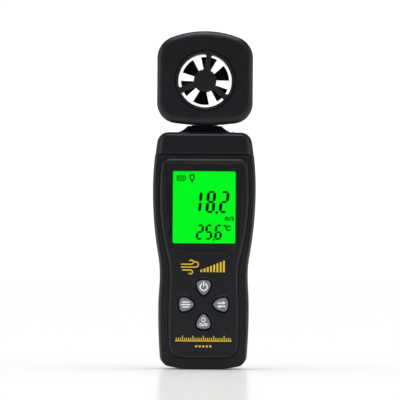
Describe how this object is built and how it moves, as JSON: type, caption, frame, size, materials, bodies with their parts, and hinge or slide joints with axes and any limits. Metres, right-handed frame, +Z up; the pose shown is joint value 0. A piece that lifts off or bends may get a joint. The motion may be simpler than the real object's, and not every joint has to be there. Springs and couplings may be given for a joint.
{
  "type": "vane anemometer",
  "caption": "Hand-held vane anemometer: swivelling head with a ducted impeller on a waisted case with a display and buttons.",
  "frame": {"origin": "centre of the bounding box's bottom face, under the middle of the foot", "axes": "+Z up along the case, -Y towards the display and buttons, +X to the viewer's right when facing the display"},
  "size_m": [0.0498, 0.0309, 0.163],
  "materials": {
    "case_plastic": "satin",
    "head_plastic": "satin",
    "duct_plastic": "satin",
    "guard_plastic": "satin",
    "impeller_plastic": "matte",
    "door_plastic": "satin",
    "window": "gloss",
    "lcd": "gloss",
    "backlight": "gloss",
    "foam": "matte",
    "contact_strip": "matte",
    "white_plastic": "satin",
    "board": "satin",
    "chip": "matte",
    "switch": "matte",
    "plunger": "satin",
    "key_plastic": "satin",
    "lead": "satin",
    "steel": "satin",
    "spring_wire": "gloss",
    "cell": "gloss",
    "bearing_brass": "satin",
    "magnet": "satin",
    "thermistor": "gloss"
  },
  "bodies": {
    "case": {"front_shell": "case_plastic", "rear_shell": "case_plastic", "top_cap": "case_plastic", "display_window": "window", "window_gasket": "foam", "lcd_panel": "lcd", "lcd_holder": "white_plastic", "backlight": "backlight", "zebra_strip": "contact_strip", "main_board": "board", "microcontroller": "chip", "board_parts": "chip", "switch_bases": "switch", "board_socket": "white_plastic", "lead_plug": "white_plastic", "board_lead": "lead", "case_screws": "steel", "cap_screws": "steel", "board_screws": "steel", "aaa_cell_1": "cell", "aaa_cell_2": "cell", "aaa_cell_3": "cell", "battery_springs": "spring_wire", "battery_contacts": "spring_wire", "battery_leads": "lead", "neck_washer": "steel"},
    "door": {"battery_door": "door_plastic", "door_pad": "foam"},
    "head": {"head_front_shell": "head_plastic", "head_rear_shell": "head_plastic", "vane_duct": "duct_plastic", "front_guard": "guard_plastic", "rear_guard": "guard_plastic", "front_bearing": "bearing_brass", "rear_bearing": "bearing_brass", "head_screws": "steel", "sensor_board": "board", "hall_sensor": "chip", "thermistor": "thermistor", "neck": "duct_plastic", "neck_clip": "steel", "head_lead": "lead"},
    "rotor": {"impeller": "impeller_plastic", "impeller_shaft": "steel", "impeller_magnet": "magnet"},
    "power_key": {"power_button": "key_plastic", "power_plunger": "plunger"},
    "mode_key": {"mode_button": "key_plastic", "mode_plunger": "plunger"},
    "unit_key": {"unit_button": "key_plastic", "unit_plunger": "plunger"},
    "light_key": {"light_button": "key_plastic", "light_plunger": "plunger"}
  },
  "joints": [
    {"name": "head_swivel", "type": "hinge", "parent": "case", "child": "head", "pos_m": [0, 0, 0.1174], "axis": [0, 0, 1], "range_deg": [-180, 180]},
    {"name": "impeller_spin", "type": "hinge", "parent": "head", "child": "rotor", "pos_m": [0, 0, 0.1392], "axis": [0, 1, 0], "continuous": true},
    {"name": "door_hinge", "type": "hinge", "parent": "case", "child": "door", "pos_m": [0, 0.01405, 0.0104], "axis": [-1, 0, 0], "range_deg": [0, 75]},
    {"name": "power_press", "type": "slide", "parent": "case", "child": "power_key", "axis": [0, 1, 0], "range_m": [0, 0.0006], "stiffness_N_per_m": 300},
    {"name": "mode_press", "type": "slide", "parent": "case", "child": "mode_key", "axis": [0, 1, 0], "range_m": [0, 0.0006], "stiffness_N_per_m": 300},
    {"name": "unit_press", "type": "slide", "parent": "case", "child": "unit_key", "axis": [0, 1, 0], "range_m": [0, 0.0006], "stiffness_N_per_m": 300},
    {"name": "light_press", "type": "slide", "parent": "case", "child": "light_key", "axis": [0, 1, 0], "range_m": [0, 0.0006], "stiffness_N_per_m": 300}
  ]
}
